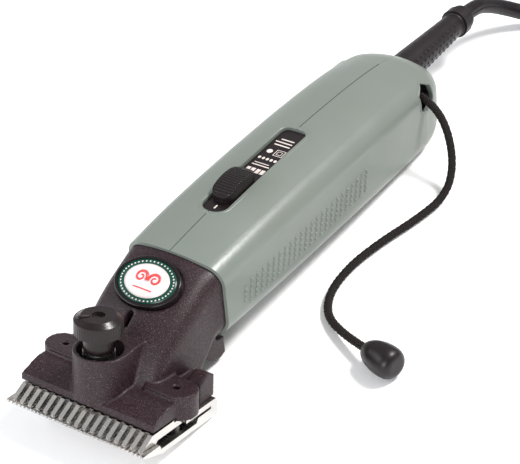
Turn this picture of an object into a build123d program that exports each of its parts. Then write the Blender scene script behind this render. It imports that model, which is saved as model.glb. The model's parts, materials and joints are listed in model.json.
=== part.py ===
"""Mains-driven sheep and cattle clipper: a two-half handle, a cast head and a comb-and-cutter blade set.

Millimetres. +Y runs from the comb tips to the lead, +X is the operator's left, +Z is up.  The origin
is on the table, midway along the tool.  The tool lies on the comb's heel and the rear of its handle,
so the handle and the head are each drawn on a plane of their own, tilted from the table.
"""
from math import cos, pi, radians, sin, tan
import os

from build123d import *

os.makedirs("parts", exist_ok=True)

# ---------------------------------------------------------------- driving dimensions
COMB_WIDTH = 77.0           # across the comb, the size that fixes all the others
COMB_DEPTH = 53.9           # comb tips to heel
COMB_PITCH = 2.2            # one comb tooth every 2.2 mm
CUTTER_PITCH = 4.4          # one cutter tooth every second comb tooth
CUTTER_TEETH = 17
HALF_LENGTH = 172.2         # half the length from the comb tips to the end of the strain relief
REST_TILT = 4.0             # handle axis falls this much towards the lead, degrees
HEAD_TILT = 10.16           # comb plane against the handle axis, degrees

WALL = 2.2                  # handle shell
RIM_WALL = 1.3              # shell where it laps over the head casting
FRONT_Y = 79.0              # handle shell, front rim
SPIGOT_Y = 87.0             # rear end of the head casting, inside the shell

PIVOT_V = 44.0              # lever pivot, behind the comb tips
FORK_V = 20.0               # lever fork fingers
STROKE = 2.2                # cutter travel each side of the middle, and the crank's throw
ROLLER_R = 3.0
MODULE = 0.5
PINION_TEETH = 9
GEAR_TEETH = 31
GEAR_GAP = 0.10             # added to the centre distance, for backlash
MOTOR_Z = 38.0
SPINDLE_Z = MOTOR_Z - MODULE * (PINION_TEETH + GEAR_TEETH) / 2 - GEAR_GAP

TENSION_V = 18.6            # tension screw, behind the comb tips
LEAD_D = 8.6
LANYARD_D = 4.0
RUN_CLEARANCE = 0.05        # radial, on every turning shaft

# ---------------------------------------------------------------- planes
HEEL_V = 51.5               # the comb's rear lower edge, which stands on the table
HEEL_Y = HEEL_V * cos(radians(HEAD_TILT))
HEEL_Z = (COMB_DEPTH - HEEL_V) * sin(radians(HEAD_TILT))


def tilted(degrees):
    """Unit vector that points up from a plane that falls by this angle towards +Y."""
    return (0, sin(radians(degrees)), cos(radians(degrees)))


HANDLE = Plane(
    origin=(0, -HALF_LENGTH, HEEL_Y * sin(radians(REST_TILT)) - HEEL_Z * cos(radians(REST_TILT))),
    x_dir=(1, 0, 0),
    z_dir=tilted(REST_TILT),
)
HEAD = Plane(
    origin=HANDLE.from_local_coords((0, 0, COMB_DEPTH * sin(radians(HEAD_TILT)))),
    x_dir=(1, 0, 0),
    z_dir=tilted(REST_TILT + HEAD_TILT),
)
HEAD_SIDE = Plane(origin=HEAD.origin, x_dir=HEAD.y_dir, z_dir=HEAD.x_dir)
HANDLE_SIDE = Plane(origin=HANDLE.origin, x_dir=HANDLE.y_dir, z_dir=HANDLE.x_dir)


def across(y):
    """Plane across the handle at station y: sketch x is +X, sketch y is the handle's up."""
    return Plane(origin=HANDLE.from_local_coords((0, y, 0)), x_dir=(1, 0, 0), z_dir=-HANDLE.y_dir)


def rod(y_front, y_rear, z, radius, x=0.0, mode=Mode.ADD):
    """Round bar along the handle, or a hole with Mode.SUBTRACT."""
    with BuildSketch(across(y_rear), mode=Mode.PRIVATE) as face:
        with Locations((x, z)):
            Circle(radius)
    extrude(face.sketch, amount=y_rear - y_front, mode=mode)


def block(y_front, y_rear, z_low, z_high, width, x=0.0, mode=Mode.ADD):
    """Rectangular block in the handle's frame, centred on x."""
    with BuildSketch(across(y_rear), mode=Mode.PRIVATE) as face:
        with Locations((x, (z_low + z_high) / 2)):
            Rectangle(width, z_high - z_low)
    extrude(face.sketch, amount=y_rear - y_front, mode=mode)


def post(u, v, w_low, w_high, radius, mode=Mode.ADD):
    """Round bar square to the comb plane."""
    with BuildSketch(HEAD.offset(w_low), mode=Mode.PRIVATE) as face:
        with Locations((u, v)):
            Circle(radius)
    extrude(face.sketch, amount=w_high - w_low, mode=mode)


def slab(u, v_front, v_rear, w_low, w_high, width, mode=Mode.ADD):
    """Rectangular block in the head's frame, centred on u."""
    with BuildSketch(HEAD.offset(w_low), mode=Mode.PRIVATE) as face:
        with Locations((u, (v_front + v_rear) / 2)):
            Rectangle(width, v_rear - v_front)
    extrude(face.sketch, amount=w_high - w_low, mode=mode)


def save(piece, name):
    """Label a finished piece and write its STEP file."""
    piece.part.label = name
    export_step(piece.part, f"parts/{name}.step")


# ---------------------------------------------------------------- crowned sections of the body
# station y, half width, top, shoulder, bottom, top corner radius, bottom corner radius
SHELL_SECTIONS = [
    (FRONT_Y, 27.0, 59.2, 53.8, 17.0, 10.5, 11.0),
    (112.0, 28.2, 62.6, 55.6, 17.0, 11.0, 11.0),
    (150.0, 28.7, 64.6, 56.4, 16.8, 11.5, 11.0),
    (190.0, 28.7, 65.2, 56.8, 16.4, 11.5, 11.0),
    (230.0, 28.2, 64.4, 56.6, 15.7, 11.5, 11.0),
    (256.0, 27.4, 62.2, 55.2, 15.3, 11.5, 11.0),
]
CAP_SECTIONS = [
    SHELL_SECTIONS[-1],
    (265.0, 26.3, 60.8, 54.4, 16.2, 11.5, 11.0),
    (272.0, 23.8, 58.4, 52.4, 20.0, 11.0, 10.5),
    (276.0, 20.2, 55.6, 50.2, 24.0, 10.0, 9.5),
    (278.0, 16.0, 53.0, 48.4, 28.4, 8.5, 8.0),
]
NECK_SECTIONS = [
    (FRONT_Y, 25.6, 57.8, 52.4, 18.4, 9.5, 10.0),
    (67.0, 24.8, 54.5, 48.4, 11.5, 10.0, 8.0),
    (56.0, 24.6, 49.8, 43.2, 6.0, 10.0, 6.0),
    (45.0, 23.8, 43.8, 36.2, 5.0, 9.5, 5.0),
    (35.0, 23.0, 34.8, 27.0, 5.0, 7.5, 5.0),
    (29.0, 22.4, 26.2, 20.5, 6.0, 4.5, 4.0),
]
NECK_HOLLOW = [
    (SPIGOT_Y + 1, 23.2, 54.8, 49.9, 21.0, 7.0, 7.0),
    (68.0, 21.8, 51.4, 45.0, 15.2, 7.0, 6.0),
    (56.0, 20.4, 45.6, 38.0, 13.6, 6.5, 4.0),
    (44.0, 17.5, 37.0, 28.0, 15.0, 6.0, 4.0),
]


def section(y, half_width, top, shoulder, bottom, top_radius, bottom_radius, inset=0.0):
    """One crowned cross-section, as a face on its own plane."""
    side = half_width - inset
    with BuildSketch(across(y), mode=Mode.PRIVATE) as face:
        with BuildLine():
            ThreePointArc((-side, shoulder - inset), (0, top - inset), (side, shoulder - inset))
            Polyline(
                (side, shoulder - inset),
                (side, bottom + inset),
                (-side, bottom + inset),
                (-side, shoulder - inset),
            )
        make_face()
        fillet(face.vertices().group_by(Axis.Y)[-1], max(top_radius - inset, 1.0))
        fillet(face.vertices().group_by(Axis.Y)[0], max(bottom_radius - inset, 1.0))
    return face.sketch


def body_loft(sections, inset=0.0, mode=Mode.ADD):
    """Smooth body through a list of sections."""
    loft([section(*values, inset=inset) for values in sections], mode=mode)


# ---------------------------------------------------------------- handle: two moulded halves
PANEL_FRONT, PANEL_REAR = 109.5, 181.5      # switch panel, stations
PANEL_Z_FRONT, PANEL_Z_REAR = 61.1, 63.7    # its top face
PANEL_HALF = 6.5
PANEL_THICK = 1.0
BUTTON_FRONT, BUTTON_REAR = 117.5, 140.5    # thumb slide, at rest (off)
SWITCH_TRAVEL = 6.0
STEM_FRONT, STEM_REAR = 126.0, 131.0
LEAD_Z = 47.2                               # lead and strain relief axis
RELIEF_R = 8.6
LANYARD_Y, LANYARD_Z = 256.8, 49.2          # lanyard openings, one each side


SCREW_PLACES = ((114.4, 22.8), (174.8, 22.6), (240.0, 22.0))
SCREW_TUBE_R = 3.2
SCREW_R = 1.5
SCREW_HEAD_R = 2.9
TUBE_HALF = 24.6
SCREW_SEAT = 23.0                           # where the heads bear, on the left half


def panel_profile(below, above, gap=0.0):
    """Side profile of the inclined panel, widened by a gap at each end."""
    rise = (PANEL_Z_REAR - PANEL_Z_FRONT) / (PANEL_REAR - PANEL_FRONT)
    front, rear = PANEL_FRONT - gap, PANEL_REAR + gap
    low, high = PANEL_Z_FRONT - gap * rise, PANEL_Z_REAR + gap * rise
    with BuildSketch(HANDLE_SIDE, mode=Mode.PRIVATE) as face:
        with BuildLine():
            Polyline(
                (front, low - below), (rear, high - below), (rear, high + above), (front, low + above),
                close=True,
            )
        make_face()
    return face.sketch


with BuildPart() as panel_seat:
    extrude(panel_profile(PANEL_THICK, 8.0, gap=0.3), amount=PANEL_HALF + 0.3, both=True)
    fillet(panel_seat.edges().filter_by(lambda e: abs(e.length - PANEL_THICK - 8) < 0.1).sort_by(Axis.Y)[:2], 6.3)
    fillet(panel_seat.edges().filter_by(lambda e: abs(e.length - PANEL_THICK - 8) < 0.1).sort_by(Axis.Y)[-2:], 3.8)
with BuildPart() as handle_body:
    body_loft(SHELL_SECTIONS)
    body_loft(CAP_SECTIONS)
    # hollow for the works, open at the front
    body_loft([(FRONT_Y - 1, *SHELL_SECTIONS[0][1:]), *SHELL_SECTIONS[1:]], inset=WALL, mode=Mode.SUBTRACT)
    body_loft(CAP_SECTIONS[:3], inset=WALL, mode=Mode.SUBTRACT)
    # lap over the head casting's spigot
    extrude(
        section(SPIGOT_Y + 0.5, *SHELL_SECTIONS[0][1:], inset=RIM_WALL),
        amount=SPIGOT_Y + 0.5 - FRONT_Y + 1,
        mode=Mode.SUBTRACT,
    )
    # the rim bows forward at the top centre
    with BuildSketch(HANDLE.offset(70)) as rim_cut:
        with BuildLine():
            ThreePointArc((-32, 82.8), (0, FRONT_Y), (32, 82.8))
            Polyline((32, 82.8), (32, 60), (-32, 60), (-32, 82.8))
        make_face()
    extrude(amount=-70, mode=Mode.SUBTRACT)
    # seat for the switch panel, then the slot that the thumb slide's stem runs in
    add(panel_seat.part, mode=Mode.SUBTRACT)
    with BuildSketch(HANDLE.offset(72)):
        with Locations((0, (STEM_FRONT + STEM_REAR - SWITCH_TRAVEL) / 2)):
            Rectangle(5.4, STEM_REAR - STEM_FRONT + SWITCH_TRAVEL + 1.2)
    extrude(amount=-20, mode=Mode.SUBTRACT)
    # lead hole in the rear wall, with the groove that holds the strain relief's flange
    rod(262, 282, LEAD_Z, RELIEF_R + 0.15, mode=Mode.SUBTRACT)
    # lanyard openings: hexagons with points up and down, through both side walls
    with BuildSketch(HANDLE_SIDE):
        with Locations((LANYARD_Y, LANYARD_Z)):
            Polygon((0, 7.4), (6.2, 4.0), (6.2, -3.8), (0, -7.2), (-6.2, -3.8), (-6.2, 4.0), align=None)
    extrude(amount=40, both=True, mode=Mode.SUBTRACT)
    # tubes for the screws that join the halves
    for y, z in SCREW_PLACES:
        with BuildSketch(HANDLE_SIDE):
            with Locations((y, z)):
                Circle(SCREW_TUBE_R)
        extrude(amount=TUBE_HALF, both=True)
    # moulding seam
    with BuildSketch(HANDLE_SIDE):
        with BuildLine():
            Spline(*[(values[0], values[2] - 0.7) for values in SHELL_SECTIONS])
            Polyline(
                (SHELL_SECTIONS[-1][0], SHELL_SECTIONS[-1][2] - 0.7),
                (SHELL_SECTIONS[-1][0], 75),
                (FRONT_Y, 75),
                (FRONT_Y, SHELL_SECTIONS[0][2] - 0.7),
            )
        make_face()
    extrude(amount=0.3, both=True, mode=Mode.SUBTRACT)

with BuildPart() as handle_shell_right:
    add(handle_body.part)
    split(bisect_by=Plane.YZ.offset(0.05), keep=Keep.TOP)
    with BuildSketch(HANDLE_SIDE):
        with Locations(*SCREW_PLACES):
            Circle(SCREW_R)
    extrude(amount=22.0, mode=Mode.SUBTRACT)
with BuildPart() as handle_shell_left:
    add(handle_body.part)
    split(bisect_by=Plane.YZ.offset(-0.05), keep=Keep.BOTTOM)
    with BuildSketch(HANDLE_SIDE):
        with Locations(*SCREW_PLACES):
            Circle(SCREW_R + 0.1)
    extrude(amount=-40.0, mode=Mode.SUBTRACT)
    with BuildSketch(HANDLE_SIDE.offset(-SCREW_SEAT)):
        with Locations(*SCREW_PLACES):
            Circle(SCREW_HEAD_R + 0.1)
    extrude(amount=-10.0, mode=Mode.SUBTRACT)
with BuildPart() as shell_screws:
    with BuildSketch(HANDLE_SIDE.offset(-SCREW_SEAT - 1)):
        with Locations(*SCREW_PLACES):
            Circle(SCREW_R - 0.05)
    extrude(amount=SCREW_SEAT + 21)
    with BuildSketch(HANDLE_SIDE.offset(-SCREW_SEAT)):
        with Locations(*SCREW_PLACES):
            Circle(SCREW_HEAD_R)
    extrude(amount=-1.8)

# ---------------------------------------------------------------- switch
with BuildPart() as switch_panel:
    extrude(panel_profile(PANEL_THICK - 0.05, 0), amount=PANEL_HALF, both=True)
    fillet(switch_panel.edges().filter_by(lambda e: abs(e.length - PANEL_THICK) < 0.1).sort_by(Axis.Y)[:2], 6.0)
    fillet(switch_panel.edges().filter_by(lambda e: abs(e.length - PANEL_THICK) < 0.1).sort_by(Axis.Y)[-2:], 3.5)
    with BuildSketch(HANDLE.offset(72)):
        with Locations((0, (STEM_FRONT + STEM_REAR - SWITCH_TRAVEL) / 2)):
            Rectangle(5.4, STEM_REAR - STEM_FRONT + SWITCH_TRAVEL + 1.2)
    extrude(amount=-20, mode=Mode.SUBTRACT)

with BuildPart() as switch_slide:
    # crowned thumb button that clears the panel by 0.15 mm
    with BuildSketch(HANDLE_SIDE):
        rise = (PANEL_Z_REAR - PANEL_Z_FRONT) / (PANEL_REAR - PANEL_FRONT)
        front_z = PANEL_Z_FRONT + rise * (BUTTON_FRONT - PANEL_FRONT) + 0.15
        rear_z = PANEL_Z_FRONT + rise * (BUTTON_REAR - PANEL_FRONT) + 0.15
        with BuildLine():
            Polyline(
                (BUTTON_FRONT, front_z + 3.0), (BUTTON_FRONT, front_z), (BUTTON_REAR, rear_z), (BUTTON_REAR, rear_z + 4.6)
            )
            Spline(
                (BUTTON_FRONT, front_z + 3.0), (BUTTON_FRONT + 5, front_z + 5.4), (BUTTON_REAR, rear_z + 4.6)
            )
        make_face()
    extrude(amount=6.1, both=True)
    # rounded front in plan, so that it stays inside the panel's seat at full travel
    with BuildSketch(HANDLE.offset(50)) as button_plan:
        with Locations((0, (BUTTON_FRONT + BUTTON_REAR) / 2)):
            RectangleRounded(12.2, BUTTON_REAR - BUTTON_FRONT, 5.0)
    extrude(amount=30, mode=Mode.INTERSECT)
    with BuildSketch(HANDLE.offset(64)):
        with Locations((0, (STEM_FRONT + STEM_REAR) / 2)):
            Rectangle(4.6, STEM_REAR - STEM_FRONT)
    extrude(amount=-9)

LINK_Z = 56.2                               # top of the flat link that works the switch
FOOT_FRONT, FOOT_REAR = 186.0, 193.0
with BuildPart() as switch_link:
    block(STEM_FRONT - 2, STEM_REAR + 2, LINK_Z - 2.0, LINK_Z + 0.6, 8.0)
    block(STEM_REAR, FOOT_REAR, LINK_Z - 1.4, LINK_Z, 4.0)
    block(STEM_FRONT, STEM_REAR, LINK_Z - 3, LINK_Z + 1, 4.6, mode=Mode.SUBTRACT)
    block(FOOT_REAR - 3, FOOT_REAR, 48.2, LINK_Z, 4.0)
    block(FOOT_FRONT, FOOT_REAR, 48.2, 49.6, 6.0)

with BuildPart() as switch_block:
    block(178.0, 203.0, 31.0, 48.0, 19.0)
    block(FOOT_FRONT - SWITCH_TRAVEL - 1, FOOT_REAR + 1, 47.0, 49.0, 9.0, mode=Mode.SUBTRACT)
    block(FOOT_FRONT - SWITCH_TRAVEL - 1, FOOT_REAR + 1, 46.0, 47.9, 9.0)
    for side in (-6.0, 6.0):
        block(203.0, 208.0, 36.0, 37.0, 5.0, x=side)

# ---------------------------------------------------------------- head casting
APRON_HALF = 36.9
APRON_LOW = 11.4                            # underside over the cutter, above the comb plane
SEAT_W = 8.9                                # underside that sits on the comb's rear bar
EAR_U, EAR_V, EAR_R = 33.2, 33.4, 8.0
EAR_HOLE_U, EAR_HOLE_V = 31.0, 33.2
BOSS_V, BOSS_R = 20.4, 12.7
BOSS_TOP = 36.4
BORE_R = 10.3
PIVOT_R = 2.5
WING_U = 32.6                               # blocks behind the ears
PLATE_SCREW_X, PLATE_SCREW_Z = 20.6, 44.0   # screws that hold the gear plate

BADGE_TILT = 25.0
BADGE_PLANE = Plane(
    origin=HANDLE.from_local_coords((0, 61.6, 53.2)),
    x_dir=(1, 0, 0),
    z_dir=(0, sin(radians(REST_TILT - BADGE_TILT)), cos(radians(REST_TILT - BADGE_TILT))),
)
BADGE_A, BADGE_B = 16.9, 12.8               # half axes of the badge's bezel
BEZEL_DEPTH = 3.6

with BuildPart() as head_casting:
    body_loft(NECK_SECTIONS)
    extrude(section(SPIGOT_Y, *SHELL_SECTIONS[0][1:], inset=RIM_WALL + 0.1), amount=SPIGOT_Y - FRONT_Y)
    # nothing of the neck reaches below the comb's rear bar
    with BuildSketch(HEAD.offset(SEAT_W)):
        with Locations((0, 30)):
            Rectangle(90, 54)
    extrude(amount=-30, mode=Mode.SUBTRACT)
    # apron over the cutter, with its sloping front
    with BuildSketch(HEAD_SIDE):
        with BuildLine():
            Polyline(
                (9.2, APRON_LOW), (9.2, 14.7), (20.0, 18.7), (30.0, 18.7), (40.0, 18.7), (40.0, APRON_LOW),
                close=True,
            )
        make_face()
    extrude(amount=APRON_HALF, both=True)
    slab(0, 29.0, 41.0, APRON_LOW - 1, 20.0, 2 * APRON_HALF + 2, mode=Mode.SUBTRACT)
    slab(0, 28.9, 41.2, APRON_LOW, 18.7, 54.0)
    # rear of the base, on the comb's rear bar
    slab(0, 40.0, 54.0, SEAT_W, 17.0, 46.0)
    # ears that the comb screws go up into
    for side in (-1, 1):
        with BuildSketch(HEAD.offset(SEAT_W)):
            with Locations((side * EAR_U, EAR_V)):
                Circle(EAR_R)
        extrude(amount=21.0 - SEAT_W)
        slab(side * 26.0, EAR_V - EAR_R, EAR_V + EAR_R, 18.0, 21.0, 14.0)
        slab(side * 27.0, 28.6, EAR_V + EAR_R, APRON_LOW, 18.7, 14.0)
        slab(side * WING_U, 43.0, 53.6, SEAT_W, 22.0, 7.8)
        with BuildSketch(HEAD_SIDE.offset(side * WING_U)):
            with BuildLine():
                Polyline((42.9, 18.0), (42.9, 23.0), (53.7, 23.0), (53.7, 19.6), (49.0, 22.01), close=True)
            make_face()
        extrude(amount=4.0, both=True, mode=Mode.SUBTRACT)
        slab(side * 26.0, 40.0, 53.6, SEAT_W, 18.0, 12.0)
    # boss round the tension screw, walls running straight back into the neck
    with BuildSketch(HEAD.offset(13.0)) as boss_plan:
        with Locations((0, BOSS_V)):
            Circle(BOSS_R + 0.5)
        with Locations((0, BOSS_V + 11)):
            Rectangle(2 * BOSS_R + 1, 22)
    extrude(amount=BOSS_TOP - 13.0, taper=1.3)
    # slope of the boss's rim and the flank behind it
    with BuildSketch(HEAD_SIDE):
        with BuildLine():
            Polyline((0, 36.0), (16.0, 35.4), (26.0, 35.8), (44.0, 48.0), (0, 48.0), close=True)
        make_face()
    extrude(amount=20, both=True, mode=Mode.SUBTRACT)
    # recess for the badge
    with BuildSketch(BADGE_PLANE.offset(-BEZEL_DEPTH)):
        Ellipse(BADGE_A + 0.05, BADGE_B + 0.05)
    extrude(amount=14, mode=Mode.SUBTRACT)
    # hollow for the lever, opening down onto the cutter
    body_loft(NECK_HOLLOW, mode=Mode.SUBTRACT)
    slab(0, 15.0, 38.0, APRON_LOW - 6, 16.4, 25.0, mode=Mode.SUBTRACT)
    slab(0, 37.5, 53.0, 12.0, 22.5, 25.0, mode=Mode.SUBTRACT)
    # lugs for the gear plate's screws
    for side in (-1, 1):
        block(72.0, 80.0, PLATE_SCREW_Z - 4, PLATE_SCREW_Z + 4, 6.6, x=side * PLATE_SCREW_X)
        rod(71.0, 81.0, PLATE_SCREW_Z, 1.5, x=side * (PLATE_SCREW_X - 0.6), mode=Mode.SUBTRACT)
    # bore and recess for the tension screw
    post(0, TENSION_V, 12.0, 45.0, 5.05, mode=Mode.SUBTRACT)
    post(0, TENSION_V + 1.0, 27.0, 60.0, BORE_R, mode=Mode.SUBTRACT)
    # pivot post hole, comb screw holes, gear plate screw holes, oil hole
    post(0, PIVOT_V, SEAT_W - 1, 13.0, PIVOT_R, mode=Mode.SUBTRACT)
    for side in (-1, 1):
        post(side * EAR_HOLE_U, EAR_HOLE_V, 0, 30, 1.6, mode=Mode.SUBTRACT)
    with BuildSketch(HANDLE.offset(60)):
        with Locations((0, 45.6)):
            SlotOverall(7.0, 3.2, rotation=90)
    extrude(amount=-24, mode=Mode.SUBTRACT)
    # two ribs under the neck that keep the grip off the table
    for side in (-1, 1):
        with BuildSketch(HANDLE_SIDE.offset(side * 19.5)):
            with BuildLine():
                Polyline(
                    (70.0, 12.5), (75.0, 6.4), (81.0, 4.9), (84.6, 6.0), (84.6, 15.0), (78.8, 16.2),
                    (78.8, 24.0), (70.0, 24.0), close=True,
                )
            make_face()
        extrude(amount=1.6, both=True)

with BuildPart() as badge_bezel:
    with BuildSketch(BADGE_PLANE.offset(-BEZEL_DEPTH)):
        Ellipse(BADGE_A, BADGE_B)
    extrude(amount=BEZEL_DEPTH + 0.8)
    fillet(badge_bezel.edges().group_by(Axis.Z)[-1], 0.6)
    with BuildSketch(BADGE_PLANE.offset(0.1)):
        Ellipse(15.3, 11.2)
    extrude(amount=2, mode=Mode.SUBTRACT)
with BuildPart() as badge_disc:
    with BuildSketch(BADGE_PLANE.offset(0.1)):
        Ellipse(15.2, 11.1)
    extrude(amount=0.5)

# ---------------------------------------------------------------- comb, cutter and their screws
COMB_FLOOR = 2.6
COMB_TOP = 4.8                              # the cutting plane


def comb_profile():
    """Side profile of the comb: bevelled toothed bar, thin floor, rear bar and upstand."""
    with BuildSketch(HEAD_SIDE, mode=Mode.PRIVATE) as face:
        with BuildLine():
            Polyline(
                (0.6, 3.7), (13.6, 0), (HEEL_V, 0), (COMB_DEPTH, 0.7), (53.9, 6.0), (52.4, 8.7), (49.6, 8.7),
                (48.6, COMB_TOP), (39.4, COMB_TOP), (38.2, COMB_FLOOR), (12.8, COMB_FLOOR),
                (11.8, COMB_TOP), (0.6, COMB_TOP), (0.0, 4.3),
                close=True,
            )
        make_face()
    return face.sketch


with BuildPart() as comb:
    extrude(comb_profile(), amount=COMB_WIDTH / 2, both=True)
    # gaps between the teeth
    with BuildSketch(HEAD.offset(-2)) as gaps:
        with Locations((0, 5.0)):
            with GridLocations(COMB_PITCH, 1, int(COMB_WIDTH / COMB_PITCH) - 1, 1):
                Rectangle(COMB_PITCH * 0.42, 12.4)
    extrude(amount=12, mode=Mode.SUBTRACT)
    # side rails that the ears sit on, over the channel, and the slots for the comb screws
    for side in (-1, 1):
        slab(side * 32.3, 30.6, 50.0, 6.2, SEAT_W - 0.15, 12.4)
    with BuildSketch(HEAD.offset(-1)):
        with Locations((-EAR_HOLE_U, EAR_HOLE_V + 0.8), (EAR_HOLE_U, EAR_HOLE_V + 0.8)):
            SlotOverall(6.4, 4.4, rotation=90)
    extrude(amount=12, mode=Mode.SUBTRACT)
    chamfer(comb.edges().filter_by(HEAD.z_dir and Axis(HEAD.origin, HEAD.z_dir)).sort_by(Axis.Y)[-1:], 0.6)

CUTTER_LOW = COMB_TOP + 0.02                # oil film
CUTTER_TOP = 10.0
with BuildPart() as cutter:
    with BuildSketch(HEAD_SIDE):
        with BuildLine():
            Polyline(
                (2.6, CUTTER_LOW), (12.0, CUTTER_LOW), (13.0, CUTTER_LOW + 1.2), (24.8, CUTTER_LOW + 1.2),
                (24.8, CUTTER_TOP), (9.6, CUTTER_TOP), (2.4, CUTTER_LOW + 0.7),
                close=True,
            )
        make_face()
    extrude(amount=CUTTER_TEETH * CUTTER_PITCH / 2 - 1.1, both=True)
    slab(0, 24.0, 40.0, CUTTER_LOW + 1.2, CUTTER_TOP - 1.6, 40.0)
    # ends of the plate, running back beside the comb's rails
    for side in (-1, 1):
        slab(side * 31.8, 24.0, 29.9, CUTTER_LOW + 1.2, SEAT_W, 9.0)
    slab(0, 40.0, 47.6, CUTTER_LOW, CUTTER_TOP - 1.6, 40.0)
    with BuildSketch(HEAD.offset(2)):
        with Locations((0, 5.0)):
            with GridLocations(CUTTER_PITCH, 1, CUTTER_TEETH - 1, 1):
                Rectangle(CUTTER_PITCH * 0.5, 11.0)
    extrude(amount=14, mode=Mode.SUBTRACT)
    # two pockets for the lever's fingers
    with BuildSketch(HEAD.offset(CUTTER_TOP + 1)):
        with Locations((-5.5, FORK_V), (5.5, FORK_V)):
            SlotOverall(6.0, 4.2, rotation=90)
    extrude(amount=-5.2, mode=Mode.SUBTRACT)

with BuildPart() as comb_screws:
    for side in (-1, 1):
        post(side * EAR_HOLE_U, EAR_HOLE_V, 0.4, 17.0, 1.55)
        post(side * EAR_HOLE_U, EAR_HOLE_V, 0.4, COMB_FLOOR - 0.4, 2.1)

# ---------------------------------------------------------------- lever, its pivot and the tension screw
LEVER_LOW = 12.7
HUB_TOP = 20.0
FINGER_R = 2.0
CRANK_FRONT, CRANK_REAR = 68.0, 75.0        # stations of the crank roller
YOKE_HALF = ROLLER_R + 2 * STROKE + 0.9     # room for the roller at both ends of both motions

with BuildPart() as lever_pivot_post:
    post(0, PIVOT_V, SEAT_W, HUB_TOP + 0.3, PIVOT_R)
    post(0, PIVOT_V, HUB_TOP + 0.2, HUB_TOP + 1.2, PIVOT_R + 1.5)

with BuildPart() as lever:
    post(0, PIVOT_V, LEVER_LOW, HUB_TOP, 6.0)
    with BuildSketch(HEAD.offset(LEVER_LOW)):
        with BuildLine():
            Polyline((-4.5, PIVOT_V), (-7.6, FORK_V + 3), (-7.6, FORK_V - 2.6), (7.6, FORK_V - 2.6),
                     (7.6, FORK_V + 3), (4.5, PIVOT_V), close=True)
        make_face()
    extrude(amount=2.6)
    for side in (-5.5, 5.5):
        post(side, FORK_V, 6.6, LEVER_LOW + 1, FINGER_R)
    post(0, TENSION_V, LEVER_LOW, LEVER_LOW + 2.9, 3.4)
    # rear arm, rising to the crank
    with BuildSketch(HANDLE_SIDE):
        with BuildLine():
            Polyline((50.0, 17.5), (51.0, 21.5), (65.4, 27.0), (65.4, 20.5), (60.0, 17.5), close=True)
        make_face()
    extrude(amount=4.0, both=True)
    block(62.0, 65.4, 20.5, 35.0, 2 * YOKE_HALF + 6.4)
    for side in (-1, 1):
        block(65.0, CRANK_REAR - 1.4, 20.5, 35.0, 3.2, x=side * (YOKE_HALF + 1.6))
    post(0, PIVOT_V, LEVER_LOW - 1, HUB_TOP + 1, PIVOT_R + RUN_CLEARANCE, mode=Mode.SUBTRACT)

# plunger that bears on the lever, a fixed threaded sleeve, and the knob that screws down on it
PLUNGER_LOW = 16.0
PLUNGER_R = 2.9
SLEEVE_LOW, SLEEVE_TOP = 27.0, 43.0
SLEEVE_R = 5.4
KNOB_LOW = 36.2                             # lower end of the knob's stem
KNURL_LOW, KNOB_TOP = 44.5, 52.6
KNURL_R = 10.9
KNOB_STEM_R = 6.9
with BuildPart() as tension_plunger:
    post(0, TENSION_V, PLUNGER_LOW, 50.4, PLUNGER_R)
    post(0, TENSION_V, PLUNGER_LOW + 4, SLEEVE_LOW - 1.4, 5.0)
with BuildPart() as tension_sleeve:
    post(0, TENSION_V, SLEEVE_LOW, SLEEVE_TOP, SLEEVE_R)
    post(0, TENSION_V, SLEEVE_LOW, SLEEVE_LOW + 1.2, 8.6)
    post(0, TENSION_V, SLEEVE_LOW - 1, SLEEVE_TOP + 1, PLUNGER_R + RUN_CLEARANCE, mode=Mode.SUBTRACT)
with BuildPart() as tension_knob:
    post(0, TENSION_V, KNOB_LOW, KNURL_LOW, KNOB_STEM_R)
    post(0, TENSION_V, KNURL_LOW, KNOB_TOP - 1.8, KNURL_R)
    with BuildSketch(HEAD.offset(KNOB_TOP - 1.8)):
        with Locations((0, TENSION_V)):
            Circle(KNURL_R - 0.5)
    extrude(amount=1.8, taper=55)
    with BuildSketch(HEAD.offset(KNURL_LOW)):
        with Locations((0, TENSION_V)):
            with PolarLocations(KNURL_R + 0.3, 44):
                Circle(0.42)
    extrude(amount=KNOB_TOP - 1.8 - KNURL_LOW, mode=Mode.SUBTRACT)
    post(0, TENSION_V, KNOB_LOW - 1, SLEEVE_TOP + 0.8, SLEEVE_R + RUN_CLEARANCE, mode=Mode.SUBTRACT)
    post(0, TENSION_V, SLEEVE_TOP, KNOB_TOP + 1, PLUNGER_R + RUN_CLEARANCE, mode=Mode.SUBTRACT)
with BuildPart() as tension_spring:
    for turn in range(4):
        with BuildSketch(HEAD.offset(SLEEVE_LOW + 1.5 + 1.9 * turn)):
            with Locations((0, TENSION_V)):
                Circle(7.2)
                Circle(5.9, mode=Mode.SUBTRACT)
        extrude(amount=1.1)

# ---------------------------------------------------------------- reduction gear and crank


def gear_blank(teeth, y_front, y_rear, z, phase):
    """Spur gear: root disc with straight-flanked teeth, the first one at this angle."""
    root_r = MODULE * (teeth - 2.5) / 2
    tip_r = MODULE * (teeth + 2) / 2
    root_half = MODULE * 0.92
    tip_half = MODULE * 0.34
    with BuildSketch(across(y_rear), mode=Mode.PRIVATE) as face:
        with Locations((0, z)):
            Circle(root_r)
            with PolarLocations(0, teeth, start_angle=phase):
                Polygon(
                    (root_r - 0.3, -root_half), (tip_r, -tip_half), (tip_r, tip_half), (root_r - 0.3, root_half),
                    align=None,
                )
    extrude(face.sketch, amount=y_rear - y_front)


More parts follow.
